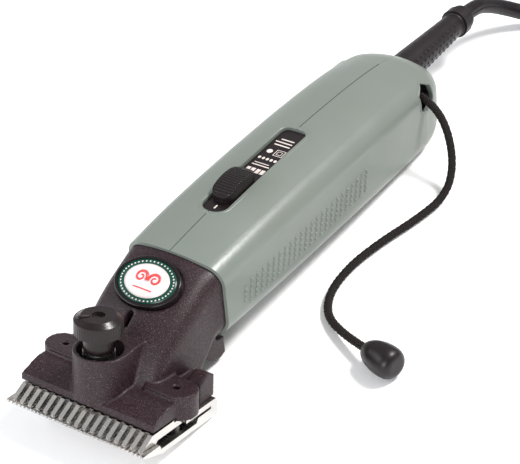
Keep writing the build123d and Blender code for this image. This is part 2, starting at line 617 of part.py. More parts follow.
GEAR_FRONT, GEAR_REAR = 87.6, 92.6
SPINDLE_R = 2.0
SHAFT_R = 2.0
with BuildPart() as drive_gear:
    # a tooth points up at the pinion
    gear_blank(GEAR_TEETH, GEAR_FRONT, GEAR_REAR, SPINDLE_Z, 90)
    rod(GEAR_FRONT - 1, GEAR_REAR, SPINDLE_Z, 4.0)
    rod(GEAR_FRONT - 2, GEAR_REAR + 1, SPINDLE_Z, SPINDLE_R, mode=Mode.SUBTRACT)
with BuildPart() as pinion:
    # a gap faces down at the gear
    gear_blank(PINION_TEETH, GEAR_FRONT - 0.6, GEAR_REAR + 0.6, MOTOR_Z, 90)
    rod(GEAR_FRONT - 2, GEAR_REAR + 2, MOTOR_Z, 1.2, mode=Mode.SUBTRACT)
with BuildPart() as crank_spindle:
    rod(CRANK_REAR + 2.6, 97.6, SPINDLE_Z, SPINDLE_R)
    rod(CRANK_REAR + 0.5, CRANK_REAR + 2.8, SPINDLE_Z, 5.2)
    rod(CRANK_FRONT - 0.8, CRANK_REAR + 1, SPINDLE_Z + STROKE, 1.3)
    rod(CRANK_FRONT - 1.4, CRANK_FRONT - 0.6, SPINDLE_Z + STROKE, 2.2)
with BuildPart() as crank_roller:
    rod(CRANK_FRONT, CRANK_REAR, SPINDLE_Z + STROKE, ROLLER_R)
    rod(CRANK_FRONT - 1, CRANK_REAR + 1, SPINDLE_Z + STROKE, 1.3, mode=Mode.SUBTRACT)

PLATE_FRONT, PLATE_REAR = 80.0, 84.0        # gear plate, screwed into the back of the head
MOTOR_PLATE_FRONT, MOTOR_PLATE_REAR = 94.6, 101.0
BUSH_R = 4.2
with BuildPart() as gear_plate:
    extrude(section(PLATE_REAR, *SHELL_SECTIONS[0][1:], inset=RIM_WALL + 4.6), amount=PLATE_REAR - PLATE_FRONT)
    rod(PLATE_FRONT - 1, PLATE_REAR + 1, SPINDLE_Z, BUSH_R, mode=Mode.SUBTRACT)
    for side in (-1, 1):
        rod(PLATE_FRONT - 1, PLATE_REAR + 1, PLATE_SCREW_Z, 1.6, x=side * (PLATE_SCREW_X - 0.6), mode=Mode.SUBTRACT)
with BuildPart() as gear_plate_screws:
    for side in (-1, 1):
        rod(73.0, PLATE_REAR + 1, PLATE_SCREW_Z, 1.45, x=side * (PLATE_SCREW_X - 0.6))
        rod(PLATE_REAR, PLATE_REAR + 1.8, PLATE_SCREW_Z, 2.3, x=side * (PLATE_SCREW_X - 0.6))
with BuildPart() as spindle_bush_front:
    rod(PLATE_FRONT, PLATE_REAR, SPINDLE_Z, BUSH_R)
    rod(PLATE_FRONT - 1, PLATE_REAR + 1, SPINDLE_Z, SPINDLE_R + RUN_CLEARANCE, mode=Mode.SUBTRACT)
with BuildPart() as motor_plate:
    extrude(
        section(MOTOR_PLATE_REAR, *SHELL_SECTIONS[0][1:], inset=WALL + 0.3),
        amount=MOTOR_PLATE_REAR - MOTOR_PLATE_FRONT,
    )
    rod(MOTOR_PLATE_FRONT - 1, 97.6, SPINDLE_Z, BUSH_R, mode=Mode.SUBTRACT)
    rod(MOTOR_PLATE_FRONT - 1, MOTOR_PLATE_REAR + 1, MOTOR_Z, SHAFT_R + 0.8, mode=Mode.SUBTRACT)
    rod(97.6, MOTOR_PLATE_REAR + 1, MOTOR_Z, 5.5, mode=Mode.SUBTRACT)
with BuildPart() as spindle_bush_rear:
    rod(MOTOR_PLATE_FRONT, 97.6, SPINDLE_Z, BUSH_R)
    rod(MOTOR_PLATE_FRONT - 1, 98, SPINDLE_Z, SPINDLE_R + RUN_CLEARANCE, mode=Mode.SUBTRACT)

# ---------------------------------------------------------------- motor
CORE_FRONT, CORE_REAR = 118.0, 146.0
COMMUTATOR_FRONT, COMMUTATOR_REAR = 153.0, 162.0
COMMUTATOR_R = 7.0
REAR_PLATE_FRONT, REAR_PLATE_REAR = 166.0, 171.0
CORE_R = 11.0


def ball_bearing(y_front, y_rear):
    """Shielded bearing on the motor shaft, drawn as one ring."""
    rod(y_front, y_rear, MOTOR_Z, 5.5)
    rod(y_front - 1, y_rear + 1, MOTOR_Z, SHAFT_R + RUN_CLEARANCE, mode=Mode.SUBTRACT)


with BuildPart() as motor_bearing_front:
    ball_bearing(97.6, MOTOR_PLATE_REAR)
with BuildPart() as motor_bearing_rear:
    ball_bearing(REAR_PLATE_FRONT, REAR_PLATE_REAR)
with BuildPart() as armature_shaft:
    rod(94.2, 173.0, MOTOR_Z, SHAFT_R)
    rod(86.6, 94.2, MOTOR_Z, 1.2)
with BuildPart() as armature_core:
    rod(CORE_FRONT, CORE_REAR, MOTOR_Z, CORE_R)
    with BuildSketch(across(CORE_REAR + 1)):
        with Locations((0, MOTOR_Z)):
            with PolarLocations(8.2, 12):
                SlotOverall(6.4, 2.2)
    extrude(amount=CORE_REAR - CORE_FRONT + 2, mode=Mode.SUBTRACT)
    rod(CORE_FRONT - 1, CORE_REAR + 1, MOTOR_Z, SHAFT_R, mode=Mode.SUBTRACT)
with BuildPart() as armature_windings:
    for y_front, y_rear in ((CORE_FRONT - 6, CORE_FRONT), (CORE_REAR, CORE_REAR + 6)):
        rod(y_front, y_rear, MOTOR_Z, 9.4)
        rod(y_front - 1, y_rear + 1, MOTOR_Z, SHAFT_R, mode=Mode.SUBTRACT)
    fillet(armature_windings.edges().filter_by(GeomType.CIRCLE).filter_by(lambda e: e.radius > 9), 1.8)
with BuildPart() as commutator:
    rod(COMMUTATOR_FRONT, COMMUTATOR_REAR, MOTOR_Z, COMMUTATOR_R)
    rod(COMMUTATOR_FRONT - 1, COMMUTATOR_REAR + 1, MOTOR_Z, SHAFT_R, mode=Mode.SUBTRACT)
with BuildPart() as fan:
    rod(104.0, 105.4, MOTOR_Z, 15.0)
    rod(103.0, 110.5, MOTOR_Z, 5.0)
    with BuildSketch(across(110.5)):
        with Locations((0, MOTOR_Z)):
            with PolarLocations(9.4, 9):
                Rectangle(9.6, 1.2, rotation=25)
    extrude(amount=5.4)
    rod(102, 112, MOTOR_Z, SHAFT_R, mode=Mode.SUBTRACT)
with BuildPart() as field_stack:
    with BuildSketch(across(CORE_REAR)):
        with Locations((0, MOTOR_Z)):
            RectangleRounded(42.0, 32.0, 7.0)
            Circle(CORE_R + 0.7, mode=Mode.SUBTRACT)
            with Locations((0, 0)):
                Rectangle(34.0, 9.0, mode=Mode.SUBTRACT)
    extrude(amount=CORE_REAR - CORE_FRONT)
with BuildPart() as field_coils:
    for side in (-1, 1):
        block(CORE_FRONT - 4, CORE_REAR + 4, MOTOR_Z - 4.2, MOTOR_Z + 4.2, 4.4, x=side * 14.4)
with BuildPart() as motor_rear_plate:
    extrude(
        section(REAR_PLATE_REAR, *SHELL_SECTIONS[0][1:], inset=WALL + 0.3),
        amount=REAR_PLATE_REAR - REAR_PLATE_FRONT,
    )
    # notch for the switch link
    block(REAR_PLATE_FRONT - 1, REAR_PLATE_REAR + 1, LINK_Z - 2.4, 62.0, 8.0, mode=Mode.SUBTRACT)
    rod(REAR_PLATE_FRONT - 1, REAR_PLATE_REAR + 1, MOTOR_Z, 5.5, mode=Mode.SUBTRACT)
with BuildPart() as brush_holders:
    for side in (-1, 1):
        block(154.4, 160.6, MOTOR_Z - 4.4, MOTOR_Z + 4.4, 13.0, x=side * 16.0)
        block(155.4, 159.6, MOTOR_Z - 3.0, MOTOR_Z + 3.0, 14.0, x=side * 15.0, mode=Mode.SUBTRACT)
with BuildPart() as carbon_brushes:
    for side in (-1, 1):
        block(155.45, 159.55, MOTOR_Z - 2.95, MOTOR_Z + 2.95, 8.0, x=side * (COMMUTATOR_R + 4.1))
with BuildPart() as brush_springs:
    for side in (-1, 1):
        block(156.5, 158.5, MOTOR_Z - 1.0, MOTOR_Z + 1.0, 6.4, x=side * (COMMUTATOR_R + 11.3))

# ---------------------------------------------------------------- lead entry
RELIEF_FRONT, RELIEF_REAR = 262.0, 330.0
COLLAR_REAR = 341.0
with BuildPart() as strain_relief:
    with BuildSketch(across(RELIEF_REAR)) as far_face:
        with Locations((0, LEAD_Z)):
            Circle(6.4)
    with BuildSketch(across(275.0)):
        with Locations((0, LEAD_Z)):
            Circle(RELIEF_R)
    loft()
    rod(RELIEF_FRONT, 275.0, LEAD_Z, RELIEF_R)
    rod(RELIEF_FRONT, RELIEF_FRONT + 3, LEAD_Z, RELIEF_R + 1.8)
    rod(RELIEF_FRONT - 1, RELIEF_REAR + 1, LEAD_Z, LEAD_D / 2, mode=Mode.SUBTRACT)
with BuildPart() as strain_relief_collar:
    rod(RELIEF_REAR, COLLAR_REAR, LEAD_Z, 6.9)
    fillet(strain_relief_collar.edges().filter_by(GeomType.CIRCLE), 1.0)
    with BuildSketch(across(RELIEF_REAR + 6.6)):
        with Locations((0, LEAD_Z)):
            Circle(7.9)
    extrude(amount=5.2)
    rod(RELIEF_REAR - 1, COLLAR_REAR + 1, LEAD_Z, LEAD_D / 2, mode=Mode.SUBTRACT)
with BuildPart() as inner_lead:
    rod(232.0, COLLAR_REAR, LEAD_Z, LEAD_D / 2)
with BuildPart() as cord_clamp:
    block(240.0, 248.0, LEAD_Z - 9.0, LEAD_Z - 0.5, 30.0)
    rod(239.0, 249.0, LEAD_Z, LEAD_D / 2 + 0.02, mode=Mode.SUBTRACT)
    for side in (-1, 1):
        with BuildSketch(HANDLE.offset(LEAD_Z)):
            with Locations((side * 11, 244.0)):
                Circle(1.6)
        extrude(amount=-12, mode=Mode.SUBTRACT)
with BuildPart() as clamp_screws:
    for side in (-1, 1):
        with BuildSketch(HANDLE.offset(LEAD_Z + 1.4)):
            with Locations((side * 11, 244.0)):
                Circle(1.5)
        extrude(amount=-14)
        with BuildSketch(HANDLE.offset(LEAD_Z - 0.4)):
            with Locations((side * 11, 244.0)):
                Circle(2.8)
        extrude(amount=1.9)
with BuildPart() as terminal_block:
    block(214.0, 231.0, 40.0, 54.0, 22.0)
    for side in (-6.0, 0.0, 6.0):
        rod(213.0, 232.0, 47.0, 1.8, x=side, mode=Mode.SUBTRACT)
with BuildPart() as suppressor_capacitor:
    block(210.0, 234.0, 19.4, 34.0, 26.0)
    fillet(suppressor_capacitor.edges(), 1.0)
with BuildPart() as lanyard_anchor:
    with BuildSketch(HANDLE_SIDE):
        with Locations((LANYARD_Y + 1.6, LANYARD_Z - 10)):
            Circle(1.6)
    extrude(amount=25.0, both=True)

# ---------------------------------------------------------------- free cords: route, coil and what is on them


def smooth_path(points):
    """Straight runs joined by arcs as large as the runs allow; prints each cord's radii."""
    route = [Vector(*point) for point in points]
    radii = []
    for before, here, after in zip(route, route[1:], route[2:]):
        turn = radians((here - before).get_angle(after - here))
        shorter = min((here - before).length, (after - here).length)
        radii.append(0.45 * shorter / tan(turn / 2))
    print("radii", [round(radius, 1) for radius in radii])
    with BuildLine() as path:
        FilletPolyline(*points, radius=radii)
    return path


def cord_along(points, diameter):
    """Round cord along a route."""
    path = smooth_path(points)
    start = Plane(path.line @ 0, z_dir=path.line % 0)
    with BuildSketch(start, mode=Mode.PRIVATE) as face:
        Circle(diameter / 2)
    sweep(face.sketch, path=path.line)


# out of the shell, down its side, along the table and back towards the head
LANYARD_ROUTE = [
    (24.0, 86.6, 35.6),
    (34.2, 83.4, 34.4),
    (45.0, 77.0, 26.5),
    (51.5, 69.5, 12.0),
    (53.5, 57.0, 2.6),
    (50.0, 36.0, 2.1),
    (43.0, 12.0, 2.1),
    (39.0, -12.0, 2.1),
    (42.0, -35.0, 2.1),
    (55.0, -51.0, 2.4),
    (80.6, -60.3, 7.4),
]
LEAD_START = HANDLE.from_local_coords((0, COLLAR_REAR, LEAD_Z))
LEAD_ROUTE = [
    tuple(LEAD_START),
    tuple(HANDLE.from_local_coords((0, COLLAR_REAR + 10, LEAD_Z))),
    (1.6, 191.2, 22.6),
    (6.6, 203.6, 14.9),
    (18.6, 214.4, 6.6),
    (37.0, 220.8, 4.6),
    (58.0, 223.0, 4.3),
    (80.0, 221.8, 4.3),
    (101.0, 219.8, 4.3),
    (120.0, 221.2, 4.3),
    (138.0, 223.4, 4.3),
]
COIL_X, COIL_Y = 150.0, 162.3
COIL_MIDDLE_R = 48.3                        # radius at the middle of the turns
COIL_SIDE = 4 * LEAD_D                      # the bundle: four turns wide and four high
COIL_INNER, COIL_OUTER = COIL_MIDDLE_R - COIL_SIDE / 2, COIL_MIDDLE_R + COIL_SIDE / 2
COIL_TOP_TURN = COIL_SIDE - LEAD_D / 2
# off the top turn and down to the plug
TAIL_ROUTE = [
    (COIL_X + COIL_OUTER - LEAD_D / 2, COIL_Y, COIL_TOP_TURN),
    (213.2, 144.5, 26.2),
    (214.4, 126.0, 17.2),
    (213.0, 108.0, 11.2),
]
with BuildPart() as lanyard_cord:
    cord_along(LANYARD_ROUTE, LANYARD_D)
with BuildPart() as mains_lead:
    cord_along(LEAD_ROUTE, LEAD_D)
with BuildPart() as lead_tail:
    cord_along(TAIL_ROUTE, LEAD_D)
with BuildPart() as lead_coil:
    with BuildSketch():
        with Locations((COIL_X, COIL_Y)):
            Circle(COIL_OUTER)
            Circle(COIL_INNER, mode=Mode.SUBTRACT)
    extrude(amount=COIL_SIDE)
with BuildPart() as coil_tie:
    tie_mid = COIL_X - (COIL_INNER + COIL_OUTER) / 2
    with BuildSketch(Plane.XZ.offset(-COIL_Y + 7)):
        with Locations((tie_mid, (COIL_SIDE + 1.2) / 2)):
            Rectangle(COIL_OUTER - COIL_INNER + 2.4, COIL_SIDE + 1.2)
            Rectangle(COIL_OUTER - COIL_INNER, COIL_SIDE - 1.2, mode=Mode.SUBTRACT)
    extrude(amount=14.0)

# two-pin mains plug of the flat-sided pattern for double-insulated tools
PIN_R, PIN_LENGTH, PIN_PITCH = 2.4, 19.0, 19.0
PLUG_FACE_Y, PLUG_TAIL_Y = 58.0, 108.0
PLUG_X, PLUG_Z = 213.0, 12.5
with BuildPart() as plug_body:
    with BuildSketch(Plane.XZ.offset(-PLUG_FACE_Y)):
        with Locations((PLUG_X, PLUG_Z)):
            RectangleRounded(35.5, 25.0, 11.0)
    with BuildSketch(Plane.XZ.offset(-PLUG_FACE_Y - 22)):
        with Locations((PLUG_X, PLUG_Z)):
            RectangleRounded(31.0, 23.0, 10.0)
    with BuildSketch(Plane.XZ.offset(-PLUG_TAIL_Y + 12)):
        with Locations((PLUG_X, PLUG_Z - 1)):
            RectangleRounded(16.0, 15.0, 6.5)
    with BuildSketch(Plane.XZ.offset(-PLUG_TAIL_Y)):
        with Locations((PLUG_X, 10.6)):
            RectangleRounded(12.0, 12.0, 5.6)
    loft(ruled=True)
with BuildPart() as plug_pins:
    with BuildSketch(Plane.XZ.offset(-PLUG_FACE_Y)):
        with Locations((PLUG_X - PIN_PITCH / 2, PLUG_Z), (PLUG_X + PIN_PITCH / 2, PLUG_Z)):
            Circle(PIN_R)
    extrude(amount=PIN_LENGTH)

# lanyard stop, lying on the table
STOP_R, STOP_SEAM, STOP_LENGTH = 7.75, 8.1, 19.3
STOP_START = Vector(80.6, -60.3, 7.4)
STOP_AXIS = Vector(24.0, -6.0, 0.9)
STOP_PLANE = Plane(origin=STOP_START, x_dir=STOP_AXIS, z_dir=(0.0, 0.14, 1.0))
with BuildPart() as lanyard_stop_cap:
    with BuildSketch(STOP_PLANE):
        with BuildLine():
            Polyline((STOP_SEAM, 7.2), (STOP_SEAM, 0), (0, 0), (0, 4.0))
            Spline((0, 4.0), (3.4, 6.1), (STOP_SEAM, 7.2))
        make_face()
    revolve(axis=Axis(STOP_START, STOP_PLANE.x_dir))
with BuildPart() as lanyard_stop:
    with BuildSketch(STOP_PLANE):
        with BuildLine():
            Polyline((STOP_SEAM, STOP_R - 0.3), (STOP_SEAM, 0), (STOP_LENGTH, 0), (STOP_LENGTH, 3.0))
            Spline((STOP_LENGTH, 3.0), (18.0, 6.3), (13.6, STOP_R), (STOP_SEAM, STOP_R - 0.3))
        make_face()
    revolve(axis=Axis(STOP_START, STOP_PLANE.x_dir))

# ---------------------------------------------------------------- write every piece
PIECES = {
    "handle_shell_right": handle_shell_right,
    "handle_shell_left": handle_shell_left,
    "shell_screws": shell_screws,
    "switch_panel": switch_panel,
    "switch_slide": switch_slide,
    "switch_link": switch_link,
    "switch_block": switch_block,
    "head_casting": head_casting,
    "badge_bezel": badge_bezel,
    "badge_disc": badge_disc,
    "comb": comb,
    "cutter": cutter,
    "comb_screws": comb_screws,
    "lever": lever,
    "lever_pivot_post": lever_pivot_post,
    "tension_plunger": tension_plunger,
    "tension_knob": tension_knob,
    "tension_sleeve": tension_sleeve,
    "tension_spring": tension_spring,
    "drive_gear": drive_gear,
    "pinion": pinion,
    "crank_spindle": crank_spindle,
    "crank_roller": crank_roller,
    "gear_plate": gear_plate,
    "gear_plate_screws": gear_plate_screws,
    "spindle_bush_front": spindle_bush_front,
    "spindle_bush_rear": spindle_bush_rear,
    "motor_plate": motor_plate,
    "motor_rear_plate": motor_rear_plate,
    "motor_bearing_front": motor_bearing_front,
    "motor_bearing_rear": motor_bearing_rear,
    "armature_shaft": armature_shaft,
    "armature_core": armature_core,
    "armature_windings": armature_windings,
    "commutator": commutator,
    "fan": fan,
    "field_stack": field_stack,
    "field_coils": field_coils,
    "brush_holders": brush_holders,
    "carbon_brushes": carbon_brushes,
    "brush_springs": brush_springs,
    "terminal_block": terminal_block,
    "suppressor_capacitor": suppressor_capacitor,
    "cord_clamp": cord_clamp,
    "clamp_screws": clamp_screws,
    "strain_relief": strain_relief,
    "strain_relief_collar": strain_relief_collar,
    "inner_lead": inner_lead,
    "mains_lead": mains_lead,
    "lead_coil": lead_coil,
    "lead_tail": lead_tail,
    "coil_tie": coil_tie,
    "plug_body": plug_body,
    "plug_pins": plug_pins,
    "lanyard_anchor": lanyard_anchor,
    "lanyard_cord": lanyard_cord,
    "lanyard_stop_cap": lanyard_stop_cap,
    "lanyard_stop": lanyard_stop,
}
for piece_name, finished in PIECES.items():
    save(finished, piece_name)
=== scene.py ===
"""Looks of the shearing handpiece: materials, cords, braid, printed plate, badge, grip and soft-edged covers.

Metres, in the row frame.  The handle and the head each have a plane of their own, as in the CAD model;
handle_point() and head_point() turn millimetres on those planes into points of the row frame.
"""
import json
import math
import random

import bpy
import numpy as np
from mathutils import Matrix, Vector
from mathutils.bvhtree import BVHTree


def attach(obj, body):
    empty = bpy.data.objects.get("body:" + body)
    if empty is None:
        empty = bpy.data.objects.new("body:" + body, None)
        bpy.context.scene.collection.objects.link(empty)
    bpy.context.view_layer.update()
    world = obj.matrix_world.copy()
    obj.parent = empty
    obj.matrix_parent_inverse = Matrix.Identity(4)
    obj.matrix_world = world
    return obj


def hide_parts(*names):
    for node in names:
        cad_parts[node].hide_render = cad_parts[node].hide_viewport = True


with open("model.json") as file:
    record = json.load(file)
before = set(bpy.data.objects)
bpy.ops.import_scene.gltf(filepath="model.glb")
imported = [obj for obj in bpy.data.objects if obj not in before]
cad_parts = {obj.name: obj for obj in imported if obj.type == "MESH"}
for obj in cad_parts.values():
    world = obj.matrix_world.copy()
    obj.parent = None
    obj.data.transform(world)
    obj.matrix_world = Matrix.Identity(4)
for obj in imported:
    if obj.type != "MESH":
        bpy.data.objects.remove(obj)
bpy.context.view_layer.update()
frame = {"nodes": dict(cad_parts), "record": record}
nodes = frame["nodes"]
MM = 0.001

# ---------------------------------------------------------------- planes of the handle and the head
REST_TILT, HEAD_TILT = math.radians(4.0), math.radians(10.16)
COMB_DEPTH, HEEL_V, HALF_LENGTH = 53.9, 51.5, 172.2
HANDLE_ORIGIN = Vector((
    0,
    -HALF_LENGTH,
    HEEL_V * math.cos(HEAD_TILT) * math.sin(REST_TILT)
    - (COMB_DEPTH - HEEL_V) * math.sin(HEAD_TILT) * math.cos(REST_TILT),
)) * MM


def tilted_frame(origin, tilt):
    """Matrix whose x is +X, y runs to the rear and falls by the tilt, and z stands square to both."""
    along = Vector((0, math.cos(tilt), -math.sin(tilt)))
    up = Vector((0, math.sin(tilt), math.cos(tilt)))
    return Matrix((
        (1, along.x, up.x, origin.x),
        (0, along.y, up.y, origin.y),
        (0, along.z, up.z, origin.z),
        (0, 0, 0, 1),
    ))


HANDLE = tilted_frame(HANDLE_ORIGIN, REST_TILT)
HEAD = tilted_frame(HANDLE @ Vector((0, 0, COMB_DEPTH * math.sin(HEAD_TILT) * MM)), REST_TILT + HEAD_TILT)


def handle_point(x, y, z):
    return HANDLE @ (Vector((x, y, z)) * MM)


def head_point(u, v, w):
    return HEAD @ (Vector((u, v, w)) * MM)


# ---------------------------------------------------------------- camera and studio
CAMERA_AZIMUTH = math.radians(39.437)
CAMERA_ELEVATION = math.radians(38.396)
CAMERA_ROLL = math.radians(-8.281)
CAMERA_PLACE = Vector((0.4568, -0.5803, 0.5902))
CAMERA_LENS = 133.2


def add_camera():
    camera = bpy.data.objects.new("camera", bpy.data.cameras.new("camera"))
    bpy.context.scene.collection.objects.link(camera)
    camera.data.lens = CAMERA_LENS
    camera.data.sensor_width = 36.0
    camera.data.clip_start, camera.data.clip_end = 0.05, 20
    turn = (
        Matrix.Rotation(CAMERA_AZIMUTH, 4, "Z")
        @ Matrix.Rotation(math.pi / 2 - CAMERA_ELEVATION, 4, "X")
        @ Matrix.Rotation(CAMERA_ROLL, 4, "Z")
    )
    camera.matrix_world = Matrix.Translation(CAMERA_PLACE) @ turn
    bpy.context.scene.camera = camera


def area_light(name, place, target, size, power, colour=(1, 1, 1)):
    data = bpy.data.lights.new(name, "AREA")
    data.shape, data.size, data.size_y = "RECTANGLE", size[0], size[1]
    data.energy, data.color = power, colour
    light = bpy.data.objects.new(name, data)
    bpy.context.scene.collection.objects.link(light)
    light.location = place
    light.rotation_mode = "QUATERNION"
    light.rotation_quaternion = (Vector(target) - Vector(place)).to_track_quat("-Z", "Y")


def add_studio():
    world = bpy.data.worlds.new("studio")
    bpy.context.scene.world = world
    world.use_nodes = True
    background = world.node_tree.nodes["Background"]
    background.inputs["Color"].default_value = (1.0, 1.0, 1.0, 1)
    background.inputs["Strength"].default_value = 0.55
    bpy.context.scene.view_settings.view_transform = "Standard"
    bpy.context.scene.view_settings.look = "None"
    area_light("key", (0.55, 0.45, 1.05), (0, 0, 0.03), (0.4, 0.25), 19, (1.0, 0.985, 0.97))
    area_light("fill", (-0.9, -0.7, 0.7), (0, 0, 0.03), (0.9, 0.7), 8, (0.92, 0.95, 1.0))
    area_light("front", (0.25, -1.1, 0.45), (0, -0.1, 0.02), (0.6, 0.4), 7, (0.97, 0.97, 1.0))
    mesh = bpy.data.meshes.new("floor")
    half = 6.0
    corners = [(-half, -half, 0), (half, -half, 0), (half, half, 0), (-half, half, 0)]
    mesh.from_pydata(corners, [], [(0, 1, 2, 3)])
    floor = bpy.data.objects.new("floor", mesh)
    bpy.context.scene.collection.objects.link(floor)
    floor.location.z = -0.0004
    paper = bpy.data.materials.new("floor_paper")
    paper.use_nodes = True
    paper.node_tree.nodes["Principled BSDF"].inputs["Base Color"].default_value = (0.96, 0.96, 0.96, 1)
    paper.node_tree.nodes["Principled BSDF"].inputs["Roughness"].default_value = 0.9
    mesh.materials.append(paper)


# ---------------------------------------------------------------- materials
class Shading:
    """One Principled material with object coordinates at hand, and short helpers to wire nodes."""

    def __init__(self, name, colour, roughness, metallic=0.0, **sockets):
        self.material = bpy.data.materials.new(name)
        self.material.use_nodes = True
        self.tree = self.material.node_tree
        self.shader = self.tree.nodes["Principled BSDF"]
        self.colour = colour
        self.roughness = roughness
        self.shader.inputs["Base Color"].default_value = (*colour, 1)
        self.shader.inputs["Roughness"].default_value = roughness
        self.shader.inputs["Metallic"].default_value = metallic
        for socket, value in sockets.items():
            self.shader.inputs[socket.replace("_", " ")].default_value = value
        self.where = self.tree.nodes.new("ShaderNodeTexCoord").outputs["Object"]
        self.height = None

    def node(self, kind, **settings):
        made = self.tree.nodes.new("ShaderNode" + kind)
        for key, value in settings.items():
            if key in made.inputs:
                made.inputs[key].default_value = value
            else:
                setattr(made, key, value)
        return made

    def link(self, a, b):
        self.tree.links.new(a, b)

    def noise(self, scale, detail=3.0, where=None):
        made = self.node("TexNoise", Scale=scale, Detail=detail)
        self.link(where or self.where, made.inputs["Vector"])
        return made.outputs["Fac"]

    def stretched(self, sx, sy, sz):
        """Object coordinates scaled by axis, for brushed or drawn grain."""
        made = self.node("Mapping")
        made.inputs["Scale"].default_value = (sx, sy, sz)
        self.link(self.where, made.inputs["Vector"])
        return made.outputs["Vector"]

    def ramp(self, fac, stops):
        made = self.node("ValToRGB")
        elements = made.color_ramp.elements
        while len(elements) < len(stops):
            elements.new(0.5)
        for element, (place, colour) in zip(elements, stops):
            element.position = place
            element.color = (*colour, 1) if len(colour) == 3 else colour
        self.link(fac, made.inputs["Fac"])
        return made.outputs["Color"]

    def mottle(self, scale, amount, tint=(1.0, 1.0, 1.0), detail=4.0):
        """Uneven colour: darker and lighter patches round the base colour."""
        dark = tuple(c * (1 - amount) for c in self.colour)
        light = tuple(min(1.0, c * (1 + amount) * t) for c, t in zip(self.colour, tint))
        patches = self.ramp(self.noise(scale, detail), [(0.3, dark), (0.7, light)])
        self.link(patches, self.shader.inputs["Base Color"])
        return self

    def vary_gloss(self, scale, amount, where=None):
        low, high = (max(0.02, self.roughness - amount),) * 3, (min(1.0, self.roughness + amount),) * 3
        gloss = self.ramp(self.noise(scale, 3, where), [(0.3, low), (0.7, high)])
        self.link(gloss, self.shader.inputs["Roughness"])
        return self

    def bump(self, height, distance, strength=1.0):
        made = self.node("Bump", Distance=distance, Strength=strength)
        self.link(height, made.inputs["Height"])
        if self.height is not None:
            self.link(self.height, made.inputs["Normal"])
        self.height = made.outputs["Normal"]
        self.link(self.height, self.shader.inputs["Normal"])
        return self

    def grain(self, scale, distance, detail=2.0, where=None, strength=1.0):
        return self.bump(self.noise(scale, detail, where), distance, strength)


def shell_plastic():
    s = Shading("shell_plastic", (0.150, 0.172, 0.150), 0.34, Specular_IOR_Level=0.5)
    s.mottle(18, 0.035, (1.0, 1.0, 1.03))
    s.vary_gloss(60, 0.04)
    return s.grain(1500, 0.00003, 2.0).material


def dark_plastic(name="dark_plastic", colour=(0.008, 0.0045, 0.0055), roughness=0.36):
    s = Shading(name, colour, roughness, Specular_IOR_Level=0.33)
    s.mottle(90, 0.18)
    s.vary_gloss(120, 0.06)
    return s.grain(1800, 0.00003).material


def head_paint():
    """Fine textured powder coat: dark brown-purple grains of uneven tone, the brightest of them a painted
    glint in the base colour.
    """
    s = Shading("head_paint", (0.011, 0.005, 0.006), 0.44, Specular_IOR_Level=0.34)
    # Darker and lighter grains are the coat's own tone; the brightest stop is painted glint, light painted
    # into the colour.
    grain_and_painted_glint = s.ramp(
        s.noise(2600, 1.0),
        [(0.42, (0.011, 0.004, 0.005)), (0.60, (0.022, 0.010, 0.013)), (0.72, (0.11, 0.070, 0.095))],
    )
    s.link(grain_and_painted_glint, s.shader.inputs["Base Color"])
    s.vary_gloss(1400, 0.12)
    return s.grain(2600, 0.00007, 1.0).material


def steel(name, colour=(0.62, 0.61, 0.60), roughness=0.24, along=(1, 1, 30)):
    """Ground or machined steel, with a fine directional grain and slight stains."""
    s = Shading(name, colour, roughness, 1.0)
    grain = s.stretched(*along)
    s.mottle(90, 0.07, (1.0, 0.98, 0.95))
    s.vary_gloss(60, 0.05, grain)
    return s.grain(420, 0.00001, 3.0, grain).material


def worn_metal(name, colour, roughness, metallic=1.0):
    s = Shading(name, colour, roughness, metallic)
    s.mottle(160, 0.16)
    s.vary_gloss(300, 0.1)
    return s.grain(700, 0.00003).material


def rubber(name, colour=(0.006, 0.004, 0.006), roughness=0.42):
    s = Shading(name, colour, roughness, Specular_IOR_Level=0.32)
    s.mottle(120, 0.15)
    s.vary_gloss(200, 0.08)
    return s.grain(1300, 0.00004).material


def braid_yarn(name, colour):
    """Twisted yarn: fine fibres along the strand, slight sheen."""
    s = Shading(name, colour, 0.62, Specular_IOR_Level=0.3)
    s.mottle(900, 0.35, (1.1, 1.0, 0.95))
    return s.grain(3200, 0.00010, 3.0).material


def copper_wire():
    """Enamelled wire wound side by side."""
    s = Shading("copper", (0.42, 0.16, 0.07), 0.32, 0.9)
    wave = s.node("TexWave", Scale=420.0, Distortion=0.6)
    s.link(s.where, wave.inputs["Vector"])
    s.mottle(200, 0.15)
    return s.bump(wave.outputs["Fac"], 0.0002).material


def laminations():
    """Stack of thin sheets, seen as fine lines across the shaft."""
    s = Shading("lamination", (0.12, 0.12, 0.125), 0.45, 0.85)
    wave = s.node("TexWave", bands_direction="Y", Scale=620.0)
    s.link(s.where, wave.inputs["Vector"])
    s.mottle(150, 0.12)
    return s.bump(wave.outputs["Fac"], 0.0001).material


